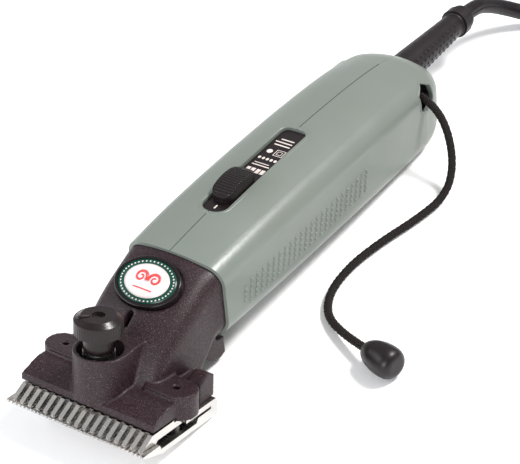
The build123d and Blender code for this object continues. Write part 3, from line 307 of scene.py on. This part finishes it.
MATERIALS = {
    "shell_plastic": shell_plastic(),
    "dark_plastic": dark_plastic(),
    "head_paint": head_paint(),
    "badge_rim": dark_plastic("badge_rim", (0.008, 0.005, 0.006), 0.22),
    "badge_face": dark_plastic("badge_face", (0.006, 0.05, 0.034), 0.2),
    "blade_steel": steel("blade_steel"),
    "steel": steel("steel", (0.5, 0.5, 0.5), 0.3, (1, 1, 1)),
    "knob_plastic": dark_plastic("knob_plastic", (0.009, 0.004, 0.0045), 0.3),
    "spring_steel": steel("spring_steel", (0.4, 0.4, 0.4), 0.3, (1, 1, 1)),
    "gear_brass": worn_metal("gear_brass", (0.60, 0.42, 0.16), 0.28),
    "bush_bronze": worn_metal("bush_bronze", (0.38, 0.22, 0.10), 0.42),
    "plate_alloy": worn_metal("plate_alloy", (0.52, 0.53, 0.54), 0.42),
    "lamination": laminations(),
    "copper": copper_wire(),
    "carbon": rubber("carbon", (0.02, 0.02, 0.021), 0.5),
    "lead_rubber": rubber("lead_rubber", (0.007, 0.004, 0.006), 0.33),
    "relief_rubber": rubber("relief_rubber", (0.008, 0.0045, 0.006), 0.42),
    "tie_strap": braid_yarn("tie_strap", (0.012, 0.012, 0.013)),
    "plug_plastic": dark_plastic("plug_plastic", (0.014, 0.014, 0.015), 0.26),
    "lanyard_braid": braid_yarn("lanyard_braid", (0.006, 0.003, 0.003)),
}
PRINT_WHITE = dark_plastic("print_white", (0.62, 0.55, 0.52), 0.45)
BADGE_CREAM = dark_plastic("badge_cream", (0.62, 0.56, 0.55), 0.22)
BADGE_RED = dark_plastic("badge_red", (0.62, 0.055, 0.06), 0.25)


def finish_cad_nodes():
    """Every CAD node takes the material of its slot."""
    slots = {row["node"]: row["material_slot"] for row in frame["record"]["subparts"]}
    for name, obj in nodes.items():
        obj.data.materials.clear()
        obj.data.materials.append(MATERIALS[slots[name]])


# ---------------------------------------------------------------- mesh helpers
def new_piece(name, mesh, material, body="body"):
    obj = bpy.data.objects.new(name, mesh)
    bpy.context.scene.collection.objects.link(obj)
    mesh.materials.append(material)
    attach(obj, body)
    return obj


def mesh_of(name, points, faces, smooth=True):
    mesh = bpy.data.meshes.new(name)
    mesh.from_pydata([tuple(p) for p in points], [], faces)
    mesh.update()
    for polygon in mesh.polygons:
        polygon.use_smooth = smooth
    return mesh


def lofted(rings, close_ends=True):
    """Points and faces of a skin through rings of equal length."""
    size = len(rings[0])
    points = [p for ring in rings for p in ring]
    faces = [
        (i * size + j, i * size + (j + 1) % size, (i + 1) * size + (j + 1) % size, (i + 1) * size + j)
        for i in range(len(rings) - 1) for j in range(size)
    ]
    if close_ends:
        faces.append(tuple(reversed(range(size))))
        last = (len(rings) - 1) * size
        faces.append(tuple(last + j for j in range(size)))
    return points, faces


def tube(path, radius, sides, closed=False):
    """Round tube along points, with rings that don't twist."""
    path = [Vector(p) for p in path]
    count = len(path)
    normal = None
    rings = []
    for i, here in enumerate(path):
        ahead = path[(i + 1) % count] if closed or i + 1 < count else here
        behind = path[i - 1] if closed or i > 0 else here
        tangent = (ahead - behind).normalized()
        if normal is None:
            normal = tangent.orthogonal()
        normal = (normal - tangent * normal.dot(tangent)).normalized()
        side = tangent.cross(normal)
        r = radius(i / (count - 1)) if callable(radius) else radius
        rings.append([
            here + (normal * math.cos(a) + side * math.sin(a)) * r
            for a in (math.tau * k / sides for k in range(sides))
        ])
    if closed:
        rings.append(rings[0])
    points, faces = lofted(rings, not closed)
    return points, faces


def joined(parts):
    """Several (points, faces) pairs as one."""
    points, faces = [], []
    for some_points, some_faces in parts:
        base = len(points)
        points += list(some_points)
        faces += [tuple(base + i for i in face) for face in some_faces]
    return points, faces


# ---------------------------------------------------------------- cords
LEAD_D, LANYARD_D = 8.6 * MM, 4.0 * MM
LEAD_Z, COLLAR_REAR = 47.2, 341.0
COIL_X, COIL_Y, COIL_MIDDLE_R = 150.0, 162.3, 48.3
TURNS_WIDE = 4
LEAD_PITCH = 8.6
LEAD_ENTRY = [
    tuple(handle_point(0, COLLAR_REAR, LEAD_Z) / MM),
    tuple(handle_point(0, COLLAR_REAR + 10, LEAD_Z) / MM),
    (1.6, 191.2, 22.6),
    (6.6, 203.6, 14.9),
    (18.6, 214.4, 6.6),
    (37.0, 220.8, 4.6),
    (58.0, 223.0, 4.3),
    (80.0, 221.8, 4.3),
    (101.0, 219.8, 4.3),
    (120.0, 221.2, 4.3),
]
LEAD_TAIL = [
    (213.2, 144.5, 26.2),
    (214.4, 126.0, 17.2),
    (213.0, 108.0, 11.2),
]
LANYARD_ROUTE = [
    (24.0, 86.6, 35.6),
    (34.2, 83.4, 34.4),
    (45.0, 77.0, 26.5),
    (51.5, 69.5, 12.0),
    (53.5, 57.0, 2.8),
    (50.0, 36.0, 2.3),
    (43.0, 12.0, 2.3),
    (39.0, -12.0, 2.3),
    (42.0, -35.0, 2.3),
    (55.0, -51.0, 2.6),
    (80.6, -60.3, 7.4),
]


def coil_turns(per_turn=14):
    """Turns of the put-away lead: four wide and four high, each layer wound back over the one below."""
    rng = random.Random(7)
    start, end = math.radians(100.4), 0.0
    turns = 15 + (start - end) / math.tau
    points = []
    for i in range(1, int(turns * per_turn)):
        t = i / per_turn
        layer, within = divmod(t, TURNS_WIDE)
        column, part = divmod(within, 1)
        shift = max(0.0, (part - 0.7) / 0.3)
        shift = shift * shift * (3 - 2 * shift)
        last = column == TURNS_WIDE - 1
        place = column + (0 if last else shift)
        level = layer + (shift if last else 0)
        if layer % 2 == 0:
            place = TURNS_WIDE - 1 - place
        radius = COIL_MIDDLE_R + (place - (TURNS_WIDE - 1) / 2) * LEAD_PITCH
        radius = radius / (1 - (1 - math.cos(math.pi / per_turn)) / 2) + rng.uniform(-0.35, 0.1)
        angle = start - math.tau * t
        points.append((
            COIL_X + radius * math.cos(angle),
            COIL_Y + radius * math.sin(angle),
            LEAD_PITCH * (0.5 + level),
        ))
    return points


def spline(name, route, bevel):
    """Smooth cord on its control points, in millimetres."""
    curve = bpy.data.curves.new(name, "CURVE")
    curve.dimensions = "3D"
    line = curve.splines.new("NURBS")
    line.points.add(len(route) - 1)
    for point, place in zip(line.points, route):
        point.co = (*(Vector(place) * MM), 1)
    line.order_u = 3
    line.use_endpoint_u = True
    line.resolution_u = 6
    curve.bevel_depth = bevel
    curve.bevel_resolution = 6
    curve.use_fill_caps = True
    return bpy.data.objects.new(name, curve)


def read_line(route):
    """Points along the cord's own line."""
    bare = spline("bare_line", route, 0.0)
    mesh = bpy.data.meshes.new_from_object(bare)
    points = [v.co.copy() for v in mesh.vertices]
    bpy.data.objects.remove(bare)
    return points


def resampled(points, step):
    """Even steps along a polyline."""
    co = np.array([tuple(p) for p in points])
    along = np.concatenate([[0], np.cumsum(np.linalg.norm(np.diff(co, axis=0), axis=1))])
    wanted = np.linspace(0, along[-1], max(2, round(along[-1] / step) + 1))
    return [Vector(p) for p in np.stack([np.interp(wanted, along, co[:, k]) for k in range(3)], 1)]


def add_lead():
    route = LEAD_ENTRY + coil_turns() + LEAD_TAIL
    lead = spline("lead", route, LEAD_D / 2)
    bpy.context.scene.collection.objects.link(lead)
    lead.data.materials.append(MATERIALS["lead_rubber"])
    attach(lead, "body")
    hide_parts("mains_lead", "lead_coil", "lead_tail")
    return lead


def braid(path, radius, strands, pitch, strand_radius):
    """Strands that wind both ways round a line and pass over and under each other."""
    count = len(path)
    tangents, normals, sides = [], [], []
    normal = None
    for i in range(count):
        tangent = (path[min(i + 1, count - 1)] - path[max(i - 1, 0)]).normalized()
        normal = tangent.orthogonal() if normal is None else normal
        normal = (normal - tangent * normal.dot(tangent)).normalized()
        tangents.append(tangent)
        normals.append(normal)
        sides.append(tangent.cross(normal))
    step = (path[1] - path[0]).length
    parts = []  # the strands, then the core that they wrap
    for way in (1, -1):
        for k in range(strands):
            line = []
            for i, here in enumerate(path):
                turn = way * math.tau * i * step / pitch + math.tau * k / strands
                weave = math.cos(strands * math.tau * i * step / pitch + math.pi * k)
                r = radius - strand_radius * (1.0 + 0.55 * way * weave)
                line.append(here + (normals[i] * math.cos(turn) + sides[i] * math.sin(turn)) * r)
            parts.append(tube(line, strand_radius, 5))
    parts.append(tube(path, radius - 1.6 * strand_radius, 8))
    return joined(parts)


def add_lanyard():
    path = resampled(read_line(LANYARD_ROUTE), 0.55 * MM)
    mesh = mesh_of("lanyard", *braid(path, LANYARD_D / 2, 6, 9.0 * MM, 0.42 * MM))
    lanyard = new_piece("lanyard", mesh, MATERIALS["lanyard_braid"])
    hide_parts("lanyard_cord")
    return lanyard, path


# ---------------------------------------------------------------- details on the CAD surfaces
def tree_of(*names):
    """Ray target made of CAD nodes, in the row frame."""
    points, faces = [], []
    for name in names:
        obj = nodes[name]
        base = len(points)
        points += [obj.matrix_world @ v.co for v in obj.data.vertices]
        faces += [tuple(base + i for i in p.vertices) for p in obj.data.polygons]
    return BVHTree.FromPolygons(points, faces)


def dropped(tree, start, way):
    """Where a ray meets the surface, with the surface's normal turned against the ray."""
    place, normal, _, _ = tree.ray_cast(start, way.normalized())
    if place is None:
        return None, None
    return place, (normal if normal.dot(way) < 0 else -normal)


def dome(centre, normal, radius, height, sides=10, sink=0.25):
    """Low round pimple that stands on a surface and sinks a little into it."""
    side = normal.orthogonal().normalized()
    other = normal.cross(side)
    rings = []
    for share, lift in ((1.0, -sink), (1.0, 0.12), (0.84, 0.58), (0.5, 0.9), (0.12, 1.0)):
        rings.append([
            centre + (side * math.cos(a) + other * math.sin(a)) * radius * share + normal * height * lift
            for a in (math.tau * k / sides for k in range(sides))
        ])
    return lofted(rings)


def add_detail(name, parts, slot, body="body"):
    """Piece made of several small parts, in the material of a slot."""
    return new_piece(name, mesh_of(name, *joined(parts)), MATERIALS[slot], body)


HANDLE_UP = (HANDLE.to_3x3() @ Vector((0, 0, 1))).normalized()
SHELLS = tree_of("handle_shell_right", "handle_shell_left")
ABOVE, BESIDE = 90, 60                      # where rays start, in handle millimetres
GRIP_COLUMNS, GRIP_ROWS = 23, 5
GRIP_PITCH, GRIP_ROW, GRIP_SHEAR, GRIP_RISE = 4.39, 2.55, 0.6, 0.02
GRIP_Y, GRIP_Z = 100.5, 39.6                # first pimple of the top row
PIMPLE_R, PIMPLE_HEIGHT = 0.95 * MM, 0.75 * MM


def add_grip():
    """Raised pimples in five rows along each side of the handle, and three at the front of them."""
    parts = []
    for side in (-1, 1):
        for column in range(-1, GRIP_COLUMNS):
            for row in range(GRIP_ROWS):
                if column == -1 and row in (0, GRIP_ROWS - 1):
                    continue
                y = GRIP_Y + GRIP_PITCH * column - GRIP_SHEAR * row
                z = GRIP_Z + GRIP_RISE * (y - GRIP_Y) - GRIP_ROW * row
                place, normal = dropped(SHELLS, handle_point(BESIDE * side, y, z), Vector((-side, 0, 0)))
                if place is not None:
                    parts.append(dome(place, normal, PIMPLE_R, PIMPLE_HEIGHT))
    add_detail("grip_pimples", parts, "shell_plastic")


def rounded_outline(x_half, y_front, y_rear, r_front, r_rear, steps=7):
    """Plan of a rounded bar, as (x, y) in handle millimetres."""
    outline = []
    for cx, cy, r, first in (
        (x_half - r_rear, y_rear - r_rear, r_rear, 0),
        (-x_half + r_rear, y_rear - r_rear, r_rear, 90),
        (-x_half + r_front, y_front + r_front, r_front, 180),
        (x_half - r_front, y_front + r_front, r_front, 270),
    ):
        for k in range(steps):
            a = math.radians(first + 90 * k / (steps - 1))
            outline.append((cx + r * math.cos(a), cy + r * math.sin(a)))
    return outline


def add_switch_rim():
    """Soft raised rim round the recess of the switch panel."""
    line = []
    for x, y in rounded_outline(7.9, 107.9, 183.1, 7.6, 5.1, 9):
        place, _ = dropped(SHELLS, handle_point(x, y, ABOVE), -HANDLE_UP)
        line.append(place - HANDLE_UP * 0.45 * MM)
    dense = []
    for a, b in zip(line, line[1:] + line[:1]):
        dense += [a.lerp(b, t / 4) for t in range(4 if (b - a).length > 4 * MM else 1)]
    add_detail("switch_rim", [tube(dense, 0.85 * MM, 10, closed=True)], "shell_plastic")


def add_button_ribs():
    """Transverse grip ribs on the thumb button."""
    button = tree_of("switch_slide")
    parts = []
    for k in range(14):
        y = 119.6 + 1.5 * k
        line = []
        for x in (-5.3, -4.6, -2.4, 0, 2.4, 4.6, 5.3):
            place, _ = dropped(button, handle_point(x, y, ABOVE), -HANDLE_UP)
            if place is not None:
                line.append(place - HANDLE_UP * 0.12 * MM)
        if len(line) > 3:
            parts.append(tube(line, 0.45 * MM, 8))
    add_detail("button_ribs", parts, "dark_plastic", "switch")


def plate(tree, to_row, way, corners, thickness):
    """Thin printed patch: its corners dropped on a surface, with a little thickness."""
    low, high = [], []
    for x, y in corners:
        place, normal = dropped(tree, to_row(x, y), way)
        low.append(place - normal * 0.1 * MM)
        high.append(place + normal * thickness)
    return lofted([low, high])


def oblong(x, y, half_x, half_y):
    return [(x + i * half_x, y + j * half_y) for i, j in ((-1, -1), (1, -1), (1, 1), (-1, 1))]


def ellipse(x, y, a, b, sides=20):
    turns = (math.tau * k / sides for k in range(sides))
    return [(x + a * math.cos(turn), y + b * math.sin(turn)) for turn in turns]


def add_panel_print():
    """Plain marks in place of the printed text: a bar for on, blocks, lines, dots and a double square."""
    panel = tree_of("switch_panel")
    parts = []

    def mark(corners):
        parts.append(plate(panel, lambda x, y: handle_point(x, y, ABOVE), -HANDLE_UP, corners, 0.03 * MM))

    mark(oblong(0, 114.4, 0.4, 1.3))
    for x in (-4.0, -1.4, 1.4, 4.0):
        mark(oblong(x, 146.2, 1.0, 1.7))
    mark(oblong(0, 150.6, 4.8, 0.35))
    mark(oblong(-0.4, 152.4, 4.0, 0.25))
    for k in range(5):
        mark(ellipse(-4.4 + 2.2 * k, 156.4, 0.75, 1.0, 14))
    for half, wide in ((2.3, 0.28), (1.2, 0.24)):
        for sign in (-1, 1):
            mark(oblong(2.7, 162.6 + sign * half, half + wide / 2, wide / 2))
            mark(oblong(2.7 + sign * half, 162.6, wide / 2, half - wide / 2))
    mark(ellipse(-2.8, 162.6, 1.5, 1.5))
    for k, (x, half) in enumerate(((0.2, 4.3), (-0.3, 4.6), (0.4, 3.6))):
        mark(oblong(x, 168.6 + 2.4 * k, half, 0.4))
    new_piece("panel_print", mesh_of("panel_print", *joined(parts), smooth=False), PRINT_WHITE)


BADGE_TILT = 25.0
BADGE = tilted_frame(handle_point(0, 61.6, 53.2), REST_TILT - math.radians(BADGE_TILT))
BADGE_HALF = (15.2, 11.1)
BADGE_UP = (BADGE.to_3x3() @ Vector((0, 0, 1))).normalized()
BADGE_DOTS = 42


def badge_place(share, angle, lift=0.0):
    """Point on the domed badge: share 0 at its middle and 1 at its edge."""
    return BADGE @ (Vector((
        BADGE_HALF[0] * share * math.cos(angle), BADGE_HALF[1] * share * math.sin(angle),
        0.6 + 0.75 * (1 - share * share) + lift,
    )) * MM)


def badge_point(x, y):
    """Point on the domed badge from millimetres across and up it."""
    x, y = x / BADGE_HALF[0], y / BADGE_HALF[1]
    return badge_place(math.hypot(x, y), math.atan2(y, x), 0.05)


def badge_dome(name, share, lift, material):
    """Domed oval out to a share of the badge."""
    rings = [
        [badge_place(max(part, 0.02) * share, math.tau * k / 64, lift) for k in range(64)]
        for part in (1.0, 0.86, 0.7, 0.5, 0.3, 0.1, 0.0)
    ]
    rings.insert(0, [p - BADGE.to_3x3() @ Vector((0, 0, 0.3 * MM)) for p in rings[0]])
    return new_piece(name, mesh_of(name, *lofted(rings)), material)


def add_badge():
    """Oval badge: dark green border with pale dots, a cream field and a plain red spiral."""
    face = badge_dome("badge_border", 1.0, 0.0, MATERIALS["badge_face"])
    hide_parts("badge_disc")
    badge_dome("badge_field", 0.76, 0.10, BADGE_CREAM)
    places = [badge_place(0.885, math.tau * (k + 0.5) / BADGE_DOTS) for k in range(BADGE_DOTS)]
    dots = [dome(place, BADGE_UP, 0.42 * MM, 0.12 * MM, 8, sink=0.6) for place in places]
    new_piece("badge_dots", mesh_of("badge_dots", *joined(dots)), BADGE_CREAM)
    motif = []
    for sign in (-1, 1):
        line = []
        for k in range(44):
            t = k / 43
            turn = math.radians(200 - 500 * t)
            reach = 3.3 * (1 - 0.82 * t)
            line.append(badge_point(sign * (3.7 + reach * math.cos(turn)), 1.2 + reach * math.sin(turn)))
        motif.append(tube(line, lambda t: (0.75 - 0.4 * t) * MM, 8))
    motif.append(tube([badge_point(-5.0 + 10.0 * k / 12, -4.3) for k in range(13)], 0.32 * MM, 8))
    new_piece("badge_motif", mesh_of("badge_motif", *joined(motif)), BADGE_RED)


HEAD_UP = (HEAD.to_3x3() @ Vector((0, 0, 1))).normalized()
KNOB_V = 18.6


def add_knob_details():
    """Pointer ridge on the knob's crown."""
    knob = tree_of("tension_knob")
    line = []
    for k in range(9):
        reach = 3.8 + 5.4 * k / 8
        place, _ = dropped(knob, head_point(-0.62 * reach, KNOB_V - 0.78 * reach, ABOVE), -HEAD_UP)
        if place is not None:
            line.append(place)
    add_detail("knob_pointer", [tube(line, lambda t: (0.5 + 0.45 * t) * MM, 8)], "knob_plastic", "knob")


def add_relief_dots():
    """Rows of low grip dots on the strain relief."""
    relief = tree_of("strain_relief")
    parts = []
    for row, turn in enumerate((-28, -6, 16, 38)):
        way = HANDLE.to_3x3() @ Vector((math.cos(math.radians(turn)), 0, math.sin(math.radians(turn))))
        for k in range(11):
            y = 281 + 4.1 * k + 2.05 * (row % 2)
            place, normal = dropped(relief, handle_point(0, y, LEAD_Z) + way * 30 * MM, -way)
            if place is not None:
                parts.append(dome(place, normal, 0.95 * MM, 0.35 * MM, 10))
    add_detail("relief_dots", parts, "relief_rubber")


OPENING_Y, OPENING_Z = 256.8, 49.2          # middle of each lanyard opening


def add_opening_rims():
    """Soft lip round each lanyard opening."""
    corners = [(0, 8.0), (6.8, 4.4), (6.8, -4.2), (0, -7.8), (-6.8, -4.2), (-6.8, 4.4)]
    parts = []
    for side in (-1, 1):
        line = []
        for (ay, az), (by, bz) in zip(corners, corners[1:] + corners[:1]):
            for k in range(6):
                y, z = ay + (by - ay) * k / 6, az + (bz - az) * k / 6
                start = handle_point(BESIDE * side, OPENING_Y + y, OPENING_Z + z)
                place, normal = dropped(SHELLS, start, Vector((-side, 0, 0)))
                if place is not None:
                    line.append(place - normal * 0.2 * MM)
        parts.append(tube(line, 0.6 * MM, 8, closed=True))
    add_detail("opening_rims", parts, "shell_plastic")


def soften_casting():
    """The head's cast edges are rounded over by about half a millimetre."""
    casting = nodes["head_casting"]
    remesh = casting.modifiers.new("cast_skin", "REMESH")
    remesh.mode, remesh.voxel_size, remesh.use_smooth_shade = "VOXEL", 0.55 * MM, True
    smooth = casting.modifiers.new("cast_edges", "SMOOTH")
    smooth.factor, smooth.iterations = 0.5, 4


# ---------------------------------------------------------------- run
add_camera()
add_studio()
finish_cad_nodes()
lead = add_lead()
lanyard, lanyard_path = add_lanyard()
soften_casting()
add_grip()
add_switch_rim()
add_button_ribs()
add_panel_print()
add_badge()
add_knob_details()
add_relief_dots()
add_opening_rims()
